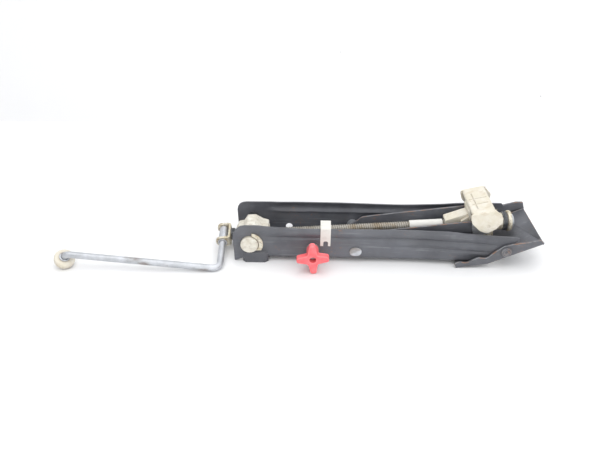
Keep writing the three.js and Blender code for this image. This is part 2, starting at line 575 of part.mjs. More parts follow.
// The yoke is drawn in its own frame: u along the spindle, v across the ears, w up.
function inYoke(geometry) {
  const basis = new THREE.Matrix4().makeBasis(
    SPINDLE_AXIS, PIN_DIR.clone().negate(), LIFT_DIR);
  geometry.applyMatrix4(basis);
  geometry.translate(yokePin.x, yokePin.y, yokePin.z);
  return toSolid(geometry);
}
function yokePlate(corners, low, high) {
  const geometry = new THREE.ExtrudeGeometry(outline(corners, []), {
    depth: high - low, bevelEnabled: false, curveSegments: ROUND / 2,
  });
  geometry.translate(0, 0, low);
  return inYoke(geometry);
}
const WEB_FACE = YOKE_PIN - YOKE_WEB - 1.6;
const EAR_OUT = 14.8;
const EAR_IN = 11.6;
const yokeU = yokePlate([
  [-9, -EAR_OUT], [WEB_FACE + 3.2, -EAR_OUT, 4], [WEB_FACE + 3.2, EAR_OUT, 4], [-9, EAR_OUT],
  [-9, EAR_IN], [WEB_FACE, EAR_IN, 1.2], [WEB_FACE, -EAR_IN, 1.2], [-9, -EAR_IN],
], -8, 8);
const earProfile = new THREE.Shape(rounded([[-9, -8, 7], [12, -8, 2], [12, 8, 2], [-9, 8, 7]]));
const earGeometry = new THREE.ExtrudeGeometry(earProfile, { depth: 40, bevelEnabled: false });
earGeometry.rotateX(Math.PI / 2);
earGeometry.translate(0, 20, 0);
add("crank_yoke", cut(yokeU.intersect(inYoke(earGeometry)), [
  turned([[0, 0], [CRANK_ROD_R + GAP, 0], [CRANK_ROD_R + GAP, 50], [0, 50]],
    yokePin.clone().addScaledVector(PIN_DIR, -25), PIN_DIR),
  onSpindle([[0, tail - YOKE_WEB - 9], [4.1, tail - YOKE_WEB - 9], [4.1, tail - YOKE_WEB + 9],
    [0, tail - YOKE_WEB + 9]], 16),
]), "zinc_yellow");

// ---------------------------------------------------------------- crank rod
const PIN_LEG = 64;
const ROD_LEG = 200;
const GRIP_STUB = 19;
const BEND_R = 11;
const END_BEND_R = 7;
const pinTail = yokePin.clone().addScaledVector(PIN_DIR, -EAR_OUT - 4.4);
const bend = yokePin.clone().addScaledVector(PIN_DIR, PIN_LEG);
const rodEnd = bend.clone().addScaledVector(ROD_DIR, ROD_LEG);
const stubEnd = rodEnd.clone().addScaledVector(GRIP_DIR, GRIP_STUB);
const bendIn = bend.clone().addScaledVector(PIN_DIR, -BEND_R);
const bendOut = bend.clone().addScaledVector(ROD_DIR, BEND_R);
const endIn = rodEnd.clone().addScaledVector(ROD_DIR, -END_BEND_R);
const endOut = rodEnd.clone().addScaledVector(GRIP_DIR, END_BEND_R);

const rodPath = new THREE.CurvePath();
rodPath.add(new THREE.LineCurve3(pinTail, bendIn));
rodPath.add(new THREE.QuadraticBezierCurve3(bendIn, bend, bendOut));
rodPath.add(new THREE.LineCurve3(bendOut, endIn));
rodPath.add(new THREE.QuadraticBezierCurve3(endIn, rodEnd, endOut));
rodPath.add(new THREE.LineCurve3(endOut, stubEnd));
const rodSection = new THREE.Shape();
rodSection.absarc(0, 0, CRANK_ROD_R, 0, 2 * Math.PI, false);
const rodGeometry = new THREE.ExtrudeGeometry(rodSection, {
  steps: 64, curveSegments: 6, bevelEnabled: false, extrudePath: rodPath,
});
add("crank_rod", toSolid(rodGeometry), "galvanised");

const onPin = (profile, segments = 20) => turned(profile, yokePin, PIN_DIR, segments);
const rodBore = CRANK_ROD_R + GAP;
add("crank_pin_sleeve", onPin([
  [rodBore, -EAR_IN + GAP], [5.9, -EAR_IN + GAP], [5.9, EAR_IN - GAP], [rodBore, EAR_IN - GAP],
]), "galvanised");
add("crank_pin_washer", onPin([
  [rodBore, -EAR_OUT - 1.9], [6.2, -EAR_OUT - 1.9], [6.2, -EAR_OUT - GAP], [rodBore, -EAR_OUT - GAP],
]), "zinc_yellow");
add("crank_stop_ring", onPin([
  [rodBore, EAR_OUT + GAP], [6.4, EAR_OUT + GAP], [6.4, EAR_OUT + 1.8], [rodBore, EAR_OUT + 1.8],
]), "galvanised");

// ---------------------------------------------------------------- grip on the stub
const onStub = (profile, segments = ROUND) => turned(profile, rodEnd, GRIP_DIR, segments);
const GRIP_R = 13.2;
add("grip_cup", onStub([
  [rodBore, 5.6], [6.6, 5.6], [6.9, 6.2], [6.9, 7.2], [rodBore, 7.2]], 20), "galvanised");
add("grip_roller", onStub([
  [rodBore, 7.5], [9.6, 7.5], [12.4, 8.8], [GRIP_R, 10.4], [GRIP_R, 11.6], [GRIP_R - 0.9, 12.4],
  [GRIP_R, 13.2], [GRIP_R, 15.2], [12.2, 17], [10.6, 18], [rodBore, 18]]), "cream_plastic");

// ---------------------------------------------------------------- foot
const FOOT_WALL = 3;
const footEdge = [
  [-13.7, 0.5, 8], [-23.9, -10.6, 5], [-35, -9.4, 6], [-50, -18.6, 8], [-57.6, -16.4, 6], [-66.4, -19.4, 3],
  [-61.4, -26.5, 1], [-21, -19.3], [47, 12.9, 1],
];
const footFront = [[43, 19.2, 1.5], [24.4, 14.8, 8], [8, 12.2, 8], [-3.7, 8.8, 6], ...footEdge];
const footBack = [[43.5, 25.4, 2], [34, 25.4, 6], [9.8, 18.4, 8], [-5, 11, 6], ...footEdge];
const footSole = [
  [-61.4, -26.5], [-21, -19.3], [47, 12.9], [45.8, 15.6], [-21.8, -16.3], [-61.9, -23.5],
];
const soleHole = (start, end, near, far) =>
  plate([[start, -40], [end, -40], [end, 40], [start, 40]], near, far, AT_FOOT);
const SLOT_IN = LEG_OUT + LEG_FLARE - LEG_WALL - 2.2;
const soleWindow = union([
  soleHole(-25, -3, -FOOT_IN + 0.4, FOOT_IN - 0.4),
  soleHole(-25, 18, -FOOT_IN + 0.4, -SLOT_IN),
  soleHole(-25, 18, SLOT_IN, FOOT_IN - 0.4),
]);
add("foot_plate", cut(
  union([
    plate(footFront, -FOOT_OUT, -FOOT_IN, AT_FOOT), plate(footBack, FOOT_IN, FOOT_OUT, AT_FOOT),
    cut(plate(footSole, -FOOT_OUT + 0.2, FOOT_OUT - 0.2, AT_FOOT), [soleWindow]),
  ]),
  [
    pin(FOOT, FOOT_PIN_R + GAP, -FOOT_OUT - 1, FOOT_OUT + 1, 16),
  ]), "black_paint");

// ---------------------------------------------------------------- place the object
const box = new THREE.Box3().setFromObject(jack);
const centre = box.getCenter(new THREE.Vector3());
for (const mesh of jack.children) mesh.geometry.translate(-centre.x, -centre.y, -box.min.z);

export default jack;
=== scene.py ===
"""Stowed scissor jack with a folding crank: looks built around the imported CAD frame.

Every size is in millimetres unless a name says otherwise, and every mesh is in the frame's
metres. Places come from the frame: its joints, its bodies and the boxes of its nodes.
"""
import json
import math

import bmesh
import bpy
from mathutils import Matrix, Vector


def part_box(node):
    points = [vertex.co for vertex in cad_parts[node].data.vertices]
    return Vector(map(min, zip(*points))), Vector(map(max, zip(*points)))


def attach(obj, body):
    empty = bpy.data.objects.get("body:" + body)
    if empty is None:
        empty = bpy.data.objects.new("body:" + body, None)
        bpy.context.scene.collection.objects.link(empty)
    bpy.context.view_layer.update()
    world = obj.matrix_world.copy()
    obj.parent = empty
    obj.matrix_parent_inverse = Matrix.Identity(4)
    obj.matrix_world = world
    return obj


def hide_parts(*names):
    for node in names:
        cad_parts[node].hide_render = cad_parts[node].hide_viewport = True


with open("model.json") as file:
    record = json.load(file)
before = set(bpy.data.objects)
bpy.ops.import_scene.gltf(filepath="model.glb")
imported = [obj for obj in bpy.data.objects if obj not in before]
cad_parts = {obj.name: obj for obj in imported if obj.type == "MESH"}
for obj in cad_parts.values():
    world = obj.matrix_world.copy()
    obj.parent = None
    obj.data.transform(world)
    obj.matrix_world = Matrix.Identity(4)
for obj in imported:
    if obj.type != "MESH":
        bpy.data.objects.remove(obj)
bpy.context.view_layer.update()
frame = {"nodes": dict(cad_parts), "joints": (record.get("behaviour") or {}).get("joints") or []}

bl_info = {
    "name": "Stowed Scissor Jack",
    "version": (1, 0, 0),
    "blender": (4, 5, 0),
    "location": "View3D > Sidebar > Scissor Jack",
    "description": "Builds a worn, folded scissor jack around its CAD frame",
    "category": "Add Mesh",
}

MM = 0.001
JOINTS = {joint["name"]: joint for joint in frame["joints"]}
PIVOT = {name: Vector(joint["pos_m"]) for name, joint in JOINTS.items()}
AXIS = {name: Vector(joint["axis"]).normalized() for name, joint in JOINTS.items()}
SCREW_AXIS = AXIS["spindle_spin"]
SCREW_POINT = PIVOT["spindle_spin"]

# side-view places on the leg, in millimetres from the nut's pivot
NUT_HEIGHT = 21.8
LEG_ZERO = PIVOT["nut_swing"] - Vector((0, 0, NUT_HEIGHT * MM))
LEG_HALF_WIDTH = 37.0
LEG_WALL = 2.5
SCREW_RADIUS = 6.0


# ------------------------------------------------------------------ settings
class JackSizes(bpy.types.PropertyGroup):
    """Sizes of the details that the CAD frame leaves plain."""

    thread_pitch: bpy.props.FloatProperty(
        name="Thread pitch", description="Pitch of the spindle's thread, in millimetres",
        default=3.0, min=1.5, max=6)
    thread_depth: bpy.props.FloatProperty(
        name="Thread depth", description="Depth of the spindle's thread, in millimetres",
        default=0.95, min=0.2, max=2)
    sheet_edge: bpy.props.FloatProperty(
        name="Sheet edge", description="Radius on the edges of pressed sheet, in millimetres",
        default=0.6, min=0.1, max=1.1)
    machined_edge: bpy.props.FloatProperty(
        name="Machined edge", description="Radius on turned and cast pieces, in millimetres",
        default=0.45, min=0.1, max=1)
    groove_depth: bpy.props.FloatProperty(
        name="Groove depth", description="Depth of the creases pressed in the leg, in millimetres",
        default=2.0, min=0, max=3)


def colour_property(name, description, default):
    return bpy.props.FloatVectorProperty(
        name=name, description=description, subtype="COLOR", size=3, min=0, max=1, default=default)


class JackColours(bpy.types.PropertyGroup):
    """Base colours of the finishes, scene linear."""

    paint: colour_property("Paint", "Dip-painted pressed steel", (0.074, 0.077, 0.088))
    bare: colour_property("Bare steel", "Steel where paint has rubbed off", (0.30, 0.30, 0.31))
    rust: colour_property("Rust", "Rust at chips and edges", (0.36, 0.16, 0.06))
    zinc: colour_property("Zinc", "Galvanised rod and pins", (0.46, 0.475, 0.50))
    chromate: colour_property("Yellow zinc", "Passivated small parts", (0.60, 0.53, 0.38))
    casting: colour_property("Casting", "Cast nut", (0.64, 0.60, 0.51))
    cream: colour_property("Cream plastic", "Head and grip", (0.66, 0.61, 0.49))
    # Brown used both for real dirt and for painted shade in corners and grooves.
    grime_and_shade: colour_property("Grime", "Dirt in corners", (0.24, 0.17, 0.10))
    thread: colour_property("Thread", "Greased spindle", (0.34, 0.31, 0.26))
    label: colour_property("Label", "Blank sleeve and clip", (0.70, 0.69, 0.65))
    red: colour_property("Red plastic", "Star knob", (0.84, 0.115, 0.130))
    floor: colour_property("Floor", "Studio floor and wall", (0.87, 0.87, 0.875))


def sizes():
    return bpy.context.scene.jack_sizes


def colours():
    return bpy.context.scene.jack_colours


# ------------------------------------------------------------------ shader maths
class Wire:
    """A shader value: a socket or a number, with arithmetic that adds Math nodes."""

    def __init__(self, shader, socket):
        self.shader = shader
        self.socket = socket

    def _math(self, operation, *values):
        return self.shader.node("ShaderNodeMath", {"operation": operation}, *values)

    def __add__(self, other):
        return self._math("ADD", self, other)

    def __radd__(self, other):
        return self._math("ADD", other, self)

    def __sub__(self, other):
        return self._math("SUBTRACT", self, other)

    def __rsub__(self, other):
        return self._math("SUBTRACT", other, self)

    def __mul__(self, other):
        return self._math("MULTIPLY", self, other)

    def __rmul__(self, other):
        return self._math("MULTIPLY", other, self)

    def over(self, edge, softness=0.05):
        """0 below the edge, 1 above it, with a soft step."""
        return self.shader.node(
            "ShaderNodeMapRange", {"interpolation_type": "SMOOTHSTEP"},
            self, edge - softness, edge + softness)


class Shader:
    """One material and the few node calls that its finishes use."""

    def __init__(self, name):
        self.material = bpy.data.materials.new(name)
        self.material.use_nodes = True
        self.tree = self.material.node_tree
        self.tree.nodes.clear()
        self.output = self.tree.nodes.new("ShaderNodeOutputMaterial")
        self.surface = self.tree.nodes.new("ShaderNodeBsdfPrincipled")
        self.tree.links.new(self.surface.outputs[0], self.output.inputs[0])

    def node(self, kind, settings=None, *values, output=0, **named):
        """Adds a node: settings first, then values or links for its inputs."""
        made = self.tree.nodes.new(kind)
        for key, value in (settings or {}).items():
            setattr(made, key, value)
        for place, value in [*enumerate(values), *named.items()]:
            if isinstance(place, str):
                place = place.replace("_", " ")
            self.feed(made.inputs[place], value)
        return Wire(self, made.outputs[output])

    def feed(self, socket, value):
        if isinstance(value, Wire):
            self.tree.links.new(value.socket, socket)
        elif value is not None:
            if isinstance(value, (tuple, list)) or hasattr(value, "__len__"):
                value = tuple(value)
                if socket.type == "RGBA" and len(value) == 3:
                    value = (*value, 1.0)
            socket.default_value = value

    def place(self, stretch=(1, 1, 1), turn=(0, 0, 0)):
        """Object coordinates in millimetres, stretched and turned."""
        coordinates = self.node("ShaderNodeTexCoord", output="Object")
        return self.node(
            "ShaderNodeMapping", None, Vector=coordinates, Rotation=turn,
            Scale=tuple(1000 * s for s in stretch))

    def noise(self, size, detail=3.0, rough=0.55, stretch=(1, 1, 1), turn=(0, 0, 0)):
        """Noise whose features are about size millimetres across."""
        return self.node(
            "ShaderNodeTexNoise", None, Vector=self.place(stretch, turn), Scale=1.0 / size,
            Detail=detail, Roughness=rough)

    def cells(self, size):
        return self.node(
            "ShaderNodeTexVoronoi", {"feature": "F1"}, Vector=self.place(), Scale=1.0 / size)

    def attribute(self, name):
        return self.node("ShaderNodeAttribute", {"attribute_name": name}, output="Fac")

    def corner_shade(self, reach, samples=6):
        """Painted shade from ambient occlusion: 1 in tight corners within reach millimetres, 0 in the
        open.
        """
        open_sky = self.node(
            "ShaderNodeAmbientOcclusion", {"samples": samples}, Distance=reach * MM, output="AO")
        return 1 - open_sky

    def mix(self, amount, first, second):
        mixer = self.tree.nodes.new("ShaderNodeMix")
        mixer.data_type = "RGBA"
        self.feed(mixer.inputs["Factor"], amount)
        self.feed(mixer.inputs[6], first)
        self.feed(mixer.inputs[7], second)
        return Wire(self, mixer.outputs[2])

    def bump(self, height, distance, strength=1.0, under=None):
        return self.node(
            "ShaderNodeBump", None, Height=height, Distance=distance * MM, Strength=strength,
            Normal=under)

    def one_sided(self):
        """Lets the eye through the sheet's back, so that the stage never hides the jack."""
        back = self.node("ShaderNodeNewGeometry", output="Backfacing")
        clear = self.node("ShaderNodeBsdfTransparent")
        shown = self.node("ShaderNodeMixShader", None, back)
        self.tree.links.new(self.surface.outputs[0], shown.socket.node.inputs[1])
        self.tree.links.new(clear.socket, shown.socket.node.inputs[2])
        self.tree.links.new(shown.socket, self.output.inputs[0])
        return self.material

    def finish(self, colour, roughness, metallic=0.0, normal=None, **constants):
        self.feed(self.surface.inputs["Base Color"], colour)
        self.feed(self.surface.inputs["Roughness"], roughness)
        self.feed(self.surface.inputs["Metallic"], metallic)
        if normal is not None:
            self.feed(self.surface.inputs["Normal"], normal)
        for name, value in constants.items():
            self.surface.inputs[name.replace("_", " ")].default_value = value
        return self.material


# ------------------------------------------------------------------ finishes
def black_paint():
    """Thin dip paint: mottled, scratched lengthwise, rubbed and rusting at its edges."""
    s = Shader("black_paint")
    c = colours()
    cloud = s.noise(46, detail=5)
    fine = s.noise(5, detail=4)
    dust = s.noise(14, detail=5, stretch=(0.35, 1, 1)).over(0.56, 0.14)
    base = s.mix(cloud.over(0.5, 0.2), c.paint, [v * 1.7 for v in c.paint])
    base = s.mix(dust * 0.35, base, (0.135, 0.135, 0.14))
    streak = s.noise(2.2, detail=2, stretch=(0.035, 1, 1), turn=(0, 0.04, 0.03)).over(0.655, 0.02)
    scuff = s.noise(3.4, detail=3, stretch=(0.12, 1, 1), turn=(0, -0.2, 0.25)).over(0.70, 0.02)
    scratch = (streak + scuff) * cloud.over(0.45, 0.12) * 0.55
    base = s.mix(scratch, base, (0.21, 0.215, 0.225))
    worn = s.attribute("worn") * s.noise(7, detail=4).over(0.47, 0.1)
    base = s.mix(worn * 0.75, base, c.bare)
    patch = s.noise(30, detail=2).over(0.60, 0.08)
    spot = patch * s.noise(3.2, detail=5, rough=0.7).over(0.60, 0.05)
    edge_rust = worn * s.noise(16, detail=3).over(0.52, 0.08)
    rust = s.node("ShaderNodeMath", {"operation": "MAXIMUM"}, spot * 0.4, edge_rust * 0.7)
    base = s.mix(rust, base, c.rust)
    roughness = 0.34 + cloud * 0.16 + dust * 0.2 + rust * 0.3
    peel = s.bump(s.noise(1.5, detail=2), 0.035)
    ripple = s.bump(s.noise(30, detail=1), 0.5, under=peel)
    chips = s.bump(1 - worn, 0.12, under=ripple)
    return s.finish(base, roughness, worn * 0.4, chips)


def galvanised():
    """Dull zinc on rod and pins, with brown handling stains and drawn lines."""
    s = Shader("galvanised")
    c = colours()
    cloud = s.noise(18, detail=4)
    stain = s.noise(24, detail=4, stretch=(0.5, 1, 1)).over(0.585, 0.06)
    speck = s.noise(1.6, detail=3).over(0.64, 0.05)
    base = s.mix(cloud.over(0.5, 0.18), c.zinc, (0.62, 0.635, 0.67))
    base = s.mix(stain * 0.7, base, (0.17, 0.13, 0.10))
    base = s.mix(speck * 0.35, base, (0.35, 0.35, 0.36))
    drawn = s.noise(0.8, detail=2, stretch=(0.05, 1, 1))
    normal = s.bump(drawn, 0.02, under=s.bump(s.noise(3, detail=4), 0.07))
    return s.finish(base, 0.36 + cloud * 0.2 + stain * 0.2, 0.72 - stain * 0.4, normal)


def yellow_zinc():
    """Passivated zinc gone dull, with brown dirt patches and painted shade in its corners."""
    s = Shader("zinc_yellow")
    c = colours()
    cloud = s.noise(6, detail=4)
    base = s.mix(cloud.over(0.5, 0.15), c.chromate, (0.72, 0.69, 0.60))
    # The brown noise patches are dirt; the corner darkening from ambient occlusion is painted shade.
    dirt_and_shade = s.noise(4, detail=5).over(0.57, 0.07) * 0.6 + s.corner_shade(3) * 0.6
    base = s.mix(dirt_and_shade, base, c.grime_and_shade)
    normal = s.bump(s.noise(0.9, detail=3), 0.05)
    return s.finish(base, 0.42 + cloud * 0.25, 0.6 - dirt_and_shade * 0.4, normal)


def cast_nut():
    """Sand-textured casting, greasy and stained, with painted shade in its corners."""
    s = Shader("cast_nut")
    c = colours()
    cloud = s.noise(9, detail=5)
    base = s.mix(cloud.over(0.52, 0.16), c.casting, (0.78, 0.76, 0.69))
    # The faint noise patches are dirt; the stronger corner darkening from ambient occlusion is
    # painted shade.
    dirt_and_shade = s.noise(5, detail=5).over(0.60, 0.09) * 0.25 + s.corner_shade(5) * 0.7
    base = s.mix(dirt_and_shade, base, c.grime_and_shade)
    grain = s.bump(s.noise(0.7, detail=4), 0.12)
    normal = s.bump(s.noise(5, detail=3), 0.45, under=grain)
    return s.finish(base, 0.48 + cloud * 0.25, 0.3 - dirt_and_shade * 0.2, normal)


def cream_plastic():
    """Moulded plastic, scuffed, with brown grime in its pits and painted shade in its grooves."""
    s = Shader("cream_plastic")
    c = colours()
    cloud = s.noise(16, detail=4)
    base = s.mix(cloud.over(0.5, 0.2), c.cream, (0.72, 0.68, 0.60))
    smear = s.noise(9, detail=5, stretch=(0.6, 1, 1)).over(0.59, 0.08)
    base = s.mix(smear * 0.4, base, (0.55, 0.46, 0.33))
    pits = s.noise(1.5, detail=4).over(0.665, 0.03) * cloud.over(0.5, 0.1)
    # Painted shade only: ambient occlusion darkens the grooves and corners; the pits added below are
    # dirt.
    dirt_and_shade = s.corner_shade(2.6, 8)
    base = s.mix(dirt_and_shade * 0.9 + pits * 0.7, base, c.grime_and_shade)
    grain = s.bump(s.noise(0.6, detail=3), 0.04)
    normal = s.bump(s.noise(4, detail=4) - pits * 0.4, 0.22, under=grain)
    return s.finish(base, 0.46 + smear * 0.2 + cloud * 0.1, 0.0, normal)


def greased_thread():
    """Rolled thread with brown grease patches and bright crests; its roots carry painted shade, near
    black.
    """
    s = Shader("thread_steel")
    c = colours()
    cloud = s.noise(14, detail=4)
    # Painted shade: ambient occlusion darkens the thread's roots almost to black.
    root = s.corner_shade(1.6, 6)
    base = s.mix(cloud.over(0.5, 0.2), c.thread, (0.47, 0.45, 0.41))
    brown = s.noise(22, detail=3).over(0.55, 0.1)
    base = s.mix(brown * 0.45, base, (0.34, 0.24, 0.13))
    base = s.mix(root * 0.9, base, (0.07, 0.055, 0.04))
    normal = s.bump(s.noise(0.7, detail=3), 0.06)
    return s.finish(base, 0.40 + cloud * 0.25, 0.65 - root * 0.4, normal)


def white_label():
    """Blank matte sleeve with smudges and rubbed edges."""
    s = Shader("white_label")
    c = colours()
    cloud = s.noise(8, detail=4)
    smudge = s.noise(5, detail=5, stretch=(0.5, 1, 1)).over(0.60, 0.06)
    base = s.mix(smudge * 0.35, c.label, (0.55, 0.53, 0.48))
    base = s.mix(s.attribute("worn") * 0.35, base, (0.50, 0.46, 0.40))
    normal = s.bump(s.noise(2.5, detail=3), 0.08)
    return s.finish(base, 0.5 + cloud * 0.2, 0.0, normal)


def red_plastic():
    """Moulded knob, paler where handled, with painted shade in its socket."""
    s = Shader("red_plastic")
    c = colours()
    cloud = s.noise(11, detail=3)
    paler = [min(1.0, v * 1.1 + 0.06) for v in c.red]
    base = s.mix(cloud.over(0.5, 0.2), c.red, paler)
    base = s.mix(s.attribute("worn") * 0.3, base, (0.92, 0.30, 0.30))
    # Painted shade in the socket from ambient occlusion, plus a few dark specks of dirt.
    dirt_and_shade = s.corner_shade(3, 6) * 0.55 + s.noise(2.5, detail=4).over(0.68, 0.04) * 0.35
    base = s.mix(dirt_and_shade, base, (0.22, 0.02, 0.025))
    normal = s.bump(s.noise(1.1, detail=3), 0.05)
    return s.finish(base, 0.36 + cloud * 0.2, 0.0, normal)


def dark_steel():
    """Blackened steel with oily mottling and rubbed edges."""
    s = Shader("dark_steel")
    cloud = s.noise(6, detail=4)
    base = s.mix(cloud.over(0.5, 0.15), (0.045, 0.050, 0.056), (0.12, 0.12, 0.125))
    worn = s.attribute("worn") * s.noise(3, detail=3).over(0.45, 0.1)
    base = s.mix(worn * 0.8, base, (0.34, 0.34, 0.35))
    normal = s.bump(s.noise(0.9, detail=3), 0.05)
    return s.finish(base, 0.36 + cloud * 0.25, 0.55, normal)


def studio_floor():
    """Near-white painted board with faint marks and a few dark specks."""
    s = Shader("studio_floor")
    c = colours()
    cloud = s.noise(160, detail=4)
    dot = 1 - s.cells(46).over(0.030, 0.012)
    rare = s.noise(70, detail=1).over(0.60, 0.02)
    base = s.mix(cloud.over(0.55, 0.2) * 0.5, c.floor, [v * 0.975 for v in c.floor])
    base = s.mix(dot * rare * 0.6, base, (0.25, 0.24, 0.24))
    normal = s.bump(s.noise(5, detail=3), 0.05)
    s.finish(base, 0.6, 0.0, normal)
    return s.one_sided()


FINISHES = {
    "black_paint": black_paint, "galvanised": galvanised, "zinc_yellow": yellow_zinc,
    "cast_nut": cast_nut, "cream_plastic": cream_plastic, "thread_steel": greased_thread,
    "white_label": white_label, "red_plastic": red_plastic, "dark_steel": dark_steel,
    "studio_floor": studio_floor,
}


def finish_named(name):
    found = bpy.data.materials.get(name + "_finish")
    if found is None:
        found = FINISHES[name]()
        found.name = name + "_finish"
    return found


# ------------------------------------------------------------------ mesh helpers
def cad_copy(node, weld=0.03):
    """A merged copy of a CAD node's mesh, its flat faces joined up."""
    bm = bmesh.new()
    bm.from_mesh(frame["nodes"][node].data)
    for layer in list(bm.loops.layers.uv.values()):
        bm.loops.layers.uv.remove(layer)
    bmesh.ops.remove_doubles(bm, verts=bm.verts, dist=weld * MM)
    bmesh.ops.dissolve_limit(
        bm, angle_limit=math.radians(0.8), verts=bm.verts, edges=bm.edges)
    return bm


def soften(bm, width, segments=2, over=28):
    """Rounds every edge sharper than an angle and marks the rounds as worn."""
    worn = bm.faces.layers.float.get("worn") or bm.faces.layers.float.new("worn")
    edges = [
        e for e in bm.edges
        if len(e.link_faces) == 2 and e.calc_face_angle(0) > math.radians(over)]
    made = bmesh.ops.bevel(
        bm, geom=edges, offset=width * MM, offset_type="OFFSET", segments=segments,
        profile=0.5, affect="EDGES", material=-1, clamp_overlap=False)
    for face in made["faces"]:
        face[worn] = 1.0
    bmesh.ops.remove_doubles(bm, verts=bm.verts, dist=0.01 * MM)


def keep_inside(bm, node):
    """Holds rounded corners within the box of the CAD node that they replace."""
    low, high = (Vector(corner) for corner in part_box(node))
    for v in bm.verts:
        v.co = Vector(min(max(c, a), b) for c, a, b in zip(v.co, low, high))


def slice_along(bm, point, direction, start, end, step):
    """Cuts the mesh with evenly spaced planes so that it can bend between them."""
    count = max(1, round((end - start) / step))
    for i in range(count + 1):
        at = point + direction * ((start + (end - start) * i / count) * MM)
        bmesh.ops.bisect_plane(
            bm, geom=bm.verts[:] + bm.edges[:] + bm.faces[:], dist=0.001 * MM,
            plane_co=at, plane_no=direction)


def turn_to(direction, origin):
    """Matrix that carries +Z to a direction and the origin to a point."""
    turn = Vector((0, 0, 1)).rotation_difference(direction).to_matrix().to_4x4()
    return Matrix.Translation(origin) @ turn


def lathe(profile, origin, direction, steps):
    """Spins a [radius, height] profile round an axis."""
    bm = bmesh.new()
    place = turn_to(direction, origin)
    verts = [bm.verts.new(place @ Vector((r * MM, 0, h * MM))) for r, h in profile]
    edges = [bm.edges.new(pair) for pair in zip(verts, verts[1:])]
    bmesh.ops.spin(
        bm, geom=verts + edges, cent=origin, axis=direction, angle=2 * math.pi,
        steps=steps, use_merge=True)
    bmesh.ops.remove_doubles(bm, verts=bm.verts, dist=0.005 * MM)
    bmesh.ops.recalc_face_normals(bm, faces=bm.faces)
    return bm


def settle(bm, name, body, finish, nodes, smooth=34, weighted=True):
    """Turns a bmesh into a finished piece that rides on a body and replaces CAD nodes."""
    if not bm.faces:
        raise RuntimeError(f"{name} has no faces")
    if bm.faces.layers.float.get("worn") is None:
        bm.faces.layers.float.new("worn")
    bmesh.ops.triangulate(bm, faces=[face for face in bm.faces if len(face.verts) > 4])
    mesh = bpy.data.meshes.new(name)
    bm.to_mesh(mesh)
    bm.free()
    mesh.polygons.foreach_set("use_smooth", [True] * len(mesh.polygons))
    mesh.set_sharp_from_angle(angle=math.radians(smooth))
    piece = bpy.data.objects.new(name, mesh)
    bpy.context.scene.collection.objects.link(piece)
    mesh.materials.append(finish_named(finish))
    if weighted:
        piece.modifiers.new("face_weights", "WEIGHTED_NORMAL").keep_sharp = True
    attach(piece, body)
    if nodes:
        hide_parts(*nodes)
    return piece


def plain_piece(node, body, finish, width, segments=2, over=28, weighted=True):
    """A CAD node with its edges rounded, under a name of its own."""
    bm = cad_copy(node)
    soften(bm, width, segments, over)
    keep_inside(bm, node)
    return settle(bm, node + "_shown", body, finish, [node], weighted=weighted)


def bump_up(value, centre, width):
    """A smooth hump of height 1."""
    return math.exp(-(((value - centre) / width) ** 2))


def ramp(value, start, end):
    """0 before start, 1 after end, smooth between."""
    t = min(1.0, max(0.0, (value - start) / (end - start)))
    return t * t * (3 - 2 * t)


# ------------------------------------------------------------------ operators
class JackOperator:
    """Shared settings of the builders."""

    bl_options = {"REGISTER", "UNDO"}

    @classmethod
    def poll(cls, context):
        return context.scene is not None


class JACK_OT_leg(JackOperator, bpy.types.Operator):
    """Build the pressed leg with its creases and rolled rims"""

    bl_idname = "jack.leg"
    bl_label = "Leg channel"

    def execute(self, context):
        bm = cad_copy("leg_channel")
        slice_along(bm, LEG_ZERO, Vector((1, 0, 0)), -22, 353, 6)
        slice_along(bm, LEG_ZERO, Vector((0, 0, 1)), 2, 48, 1.25)
        self.press(bm)
        self.rub(bm)
        settle(bm, "leg_channel_shown", "leg", "black_paint", ["leg_channel"], 38, weighted=False)
        return {"FINISHED"}

    def rub(self, bm):
        """Marks the cut lip under the nut's disc as bare."""
        worn = bm.faces.layers.float.new("worn")
        for face in bm.faces:
            centre = (face.calc_center_median() - LEG_ZERO) / MM
            on_lip = abs(centre.x - 2) < 19 and 1.5 < centre.z < 7 and face.normal.z > 0.5
            if on_lip and abs(centre.y) > LEG_HALF_WIDTH - LEG_WALL - 0.5:
                face[worn] = 1.0

    def press(self, bm):
        """Moves the flanges' sheet outwards and inwards to form rims, grooves and folds."""
        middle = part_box("pivot_spacer_front")[0].y / 2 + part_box("pivot_spacer_back")[1].y / 2
        depth = sizes().groove_depth
        foot = (PIVOT["foot_pivot"] - LEG_ZERO) / MM
        main = (PIVOT["arm_fold"] - LEG_ZERO) / MM
        knob = (PIVOT["knob_turn"] - LEG_ZERO) / MM
        for v in bm.verts:
            x = (v.co.x - LEG_ZERO.x) / MM
            z = (v.co.z - LEG_ZERO.z) / MM
            side = 1.0 if v.co.y > middle else -1.0
            reach = abs(v.co.y - middle) / MM
            if reach < LEG_HALF_WIDTH - LEG_WALL - 1.0:
                continue
            spared = 1.0
            for spot, radius in ((foot, 14), (main, 13), (knob, 11)):
                near = math.hypot(x - spot.x, z - spot.z)
                spared = min(spared, ramp(near, radius, radius + 8))
            rim = 1 - ramp(x, 282, 312)
            shelf = 32.0 - 3.5 * ramp(x, 220, 340)
            lower = 20.0 - 3.0 * ramp(x, 230, 330)
            push = 1.5 * bump_up(z, 38.0, 3.8) * rim * ramp(x, 16, 34)
            push -= 2.6 * ramp(z, 41, 48) * (1 - ramp(x, 258, 288)) * (0.45 + 0.55 * ramp(x, 20, 40))
            push -= depth * bump_up(z, shelf, 1.9) * ramp(x, 22, 44)
            push -= 0.6 * depth * bump_up(z, lower, 2.2) * ramp(x, 165, 215)
            push += 0.9 * bump_up(z, (shelf + lower) / 2, 4.6) * ramp(x, 170, 240)
            push -= 2.6 * ramp(x, 262, 300) * (1 - ramp(x, 318, 330)) * bump_up(z, 7, 7)
            push += 0.9 * (1 - ramp(x, -20, -14)) * ramp(z, 12, 24)
            v.co.y += side * push * spared * MM


